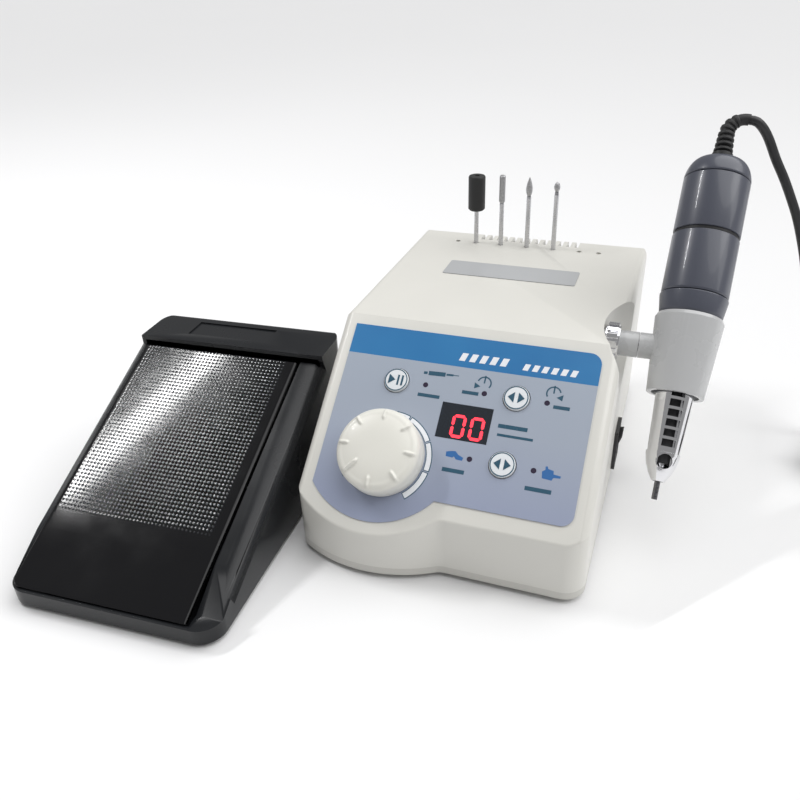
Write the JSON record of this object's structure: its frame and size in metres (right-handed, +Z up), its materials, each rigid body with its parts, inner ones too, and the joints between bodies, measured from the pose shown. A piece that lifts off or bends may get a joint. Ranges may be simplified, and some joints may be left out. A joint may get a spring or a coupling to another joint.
{
  "type": "electric nail drill",
  "caption": "Desktop electric nail drill: wedge-shaped control unit with speed knob, display and bit rack, rotary handpiece in a tilting side cradle, and a foot pedal.",
  "frame": {"origin": "on the table, in the middle of the footprint of the whole set, its cord left out", "axes": "+X to the right of the control unit, +Y to its back, +Z up"},
  "size_m": [0.3775, 0.2515, 0.1568],
  "materials": {
    "case": "smooth moulded ivory-grey",
    "knob": "smooth moulded ivory",
    "film": "printed glossy film, lilac-blue with a blue band",
    "nameplate": "silver-grey printed plate",
    "window": "smoked clear",
    "dark_plastic": "black",
    "digits": "red, lit",
    "lamp": "milky",
    "button": "white",
    "circuit_board": "green solder mask",
    "steel": "bright",
    "pin": "dark steel",
    "chrome": "polished",
    "black_plastic": "fine grain",
    "aluminium": "plain",
    "copper": "varnished",
    "bit_rubber": "black",
    "bit_steel": "fine grit on the heads",
    "cradle": "light grey",
    "grip": "slate grey, satin",
    "relief": "black",
    "cord": "black",
    "plug": "black",
    "foot": "dark grey",
    "pedal_shell": "satin black",
    "treadle": "gloss black with fine tread"
  },
  "bodies": {
    "unit": {"upper_case": "case", "lower_case": "case", "rubber_feet": "foot", "case_screws": "steel", "panel_film": "film", "nameplate": "nameplate", "display_window": "window", "display_module": "dark_plastic", "display_digits": "digits", "indicator_lamps": "lamp", "panel_board": "circuit_board", "speed_pot": "steel", "switch_frame": "black_plastic", "mains_inlet": "black_plastic", "transformer": "copper", "main_board": "circuit_board", "heat_sink": "aluminium", "hand_socket": "black_plastic", "foot_socket": "black_plastic", "cradle_hub": "chrome", "cradle_boss": "cradle", "cradle_screw": "steel", "cord_lead": "cord", "cord_coil": "cord", "coil_tie": "cord", "cord_tail": "cord", "cord_plug": "plug"},
    "knob": {"speed_knob": "knob", "knob_shaft": "steel"},
    "play": {"button_play": "button"},
    "turn": {"button_turn": "button"},
    "source": {"button_source": "button"},
    "rocker": {"switch_rocker": "black_plastic"},
    "mandrel": {"bit_mandrel": "bit_rubber"},
    "barrel": {"bit_barrel": "bit_steel"},
    "flame": {"bit_flame": "bit_steel"},
    "oval": {"bit_oval": "bit_steel"},
    "cradle": {"cradle": "cradle"},
    "hand": {"nose_cone": "chrome", "neck": "chrome", "front_cone": "grip", "grip_sleeve": "grip", "seam_ring": "black_plastic", "motor_sleeve": "grip", "rear_cap": "grip", "strain_relief": "relief", "motor_can": "steel"},
    "lock": {"lock_ring": "grip"},
    "spindle": {"spindle": "steel", "collet": "steel"},
    "pin": {"chuck_pin": "pin"},
    "pedal": {"pedal_base": "pedal_shell", "pedal_feet": "foot", "treadle_pin": "steel", "treadle_springs": "steel", "pedal_board": "circuit_board", "pedal_gland": "relief"},
    "treadle": {"pedal_treadle": "treadle"}
  },
  "joints": [
    {"name": "knob_turn", "type": "hinge", "parent": "unit", "child": "knob", "pos_m": [0.0071, -0.0406, 0.04383], "axis": [0, 0.6347, -0.7727], "range_deg": [0, 300]},
    {"name": "play_press", "type": "slide", "parent": "unit", "child": "play", "axis": [0, 0.6347, -0.7727], "range_m": [0, 0.0006], "stiffness_N_per_m": 300},
    {"name": "turn_press", "type": "slide", "parent": "unit", "child": "turn", "axis": [0, 0.6347, -0.7727], "range_m": [0, 0.0006], "stiffness_N_per_m": 300},
    {"name": "source_press", "type": "slide", "parent": "unit", "child": "source", "axis": [0, 0.6347, -0.7727], "range_m": [0, 0.0006], "stiffness_N_per_m": 300},
    {"name": "rocker_tip", "type": "hinge", "parent": "unit", "child": "rocker", "pos_m": [0.0921, 0.0357, 0.0175], "axis": [0, -1, 0], "range_deg": [0, 18]},
    {"name": "cradle_tilt", "type": "hinge", "parent": "unit", "child": "cradle", "pos_m": [0.1174, 0.0282, 0.0745], "axis": [1, 0, 0], "range_deg": [-30, 50], "deforming": ["cord_lead"]},
    {"name": "hand_lift", "type": "slide", "parent": "cradle", "child": "hand", "axis": [0.0384, 0.6423, 0.7655], "range_m": [0, 0.082], "deforming": ["cord_lead"]},
    {"name": "lock_twist", "type": "hinge", "parent": "hand", "child": "lock", "pos_m": [0.11809, 0.03976, 0.08828], "axis": [0.0384, 0.6423, 0.7655], "range_deg": [0, 45]},
    {"name": "spindle_spin", "type": "hinge", "parent": "hand", "child": "spindle", "pos_m": [0.1174, 0.0282, 0.0745], "axis": [0.0384, 0.6423, 0.7655], "continuous": true},
    {"name": "pin_pull", "type": "slide", "parent": "spindle", "child": "pin", "axis": [-0.0384, -0.6423, -0.7655], "range_m": [0, 0.032]},
    {"name": "mandrel_lift", "type": "slide", "parent": "unit", "child": "mandrel", "axis": [0, 0, 1], "range_m": [0, 0.012]},
    {"name": "barrel_lift", "type": "slide", "parent": "unit", "child": "barrel", "axis": [0, 0, 1], "range_m": [0, 0.012]},
    {"name": "flame_lift", "type": "slide", "parent": "unit", "child": "flame", "axis": [0, 0, 1], "range_m": [0, 0.012]},
    {"name": "oval_lift", "type": "slide", "parent": "unit", "child": "oval", "axis": [0, 0, 1], "range_m": [0, 0.012]},
    {"name": "pedal_slide", "type": "slide", "parent": "unit", "child": "pedal", "axis": [-1, 0, 0], "range_m": [0, 0.15]},
    {"name": "treadle_press", "type": "hinge", "parent": "pedal", "child": "treadle", "pos_m": [-0.0867, -0.10834, 0.0089], "axis": [-0.9989, -0.0471, 0], "range_deg": [0, 6], "stiffness_Nm_per_rad": 2.5, "springref_deg": -5.73, "deforming": ["treadle_springs"]}
  ]
}
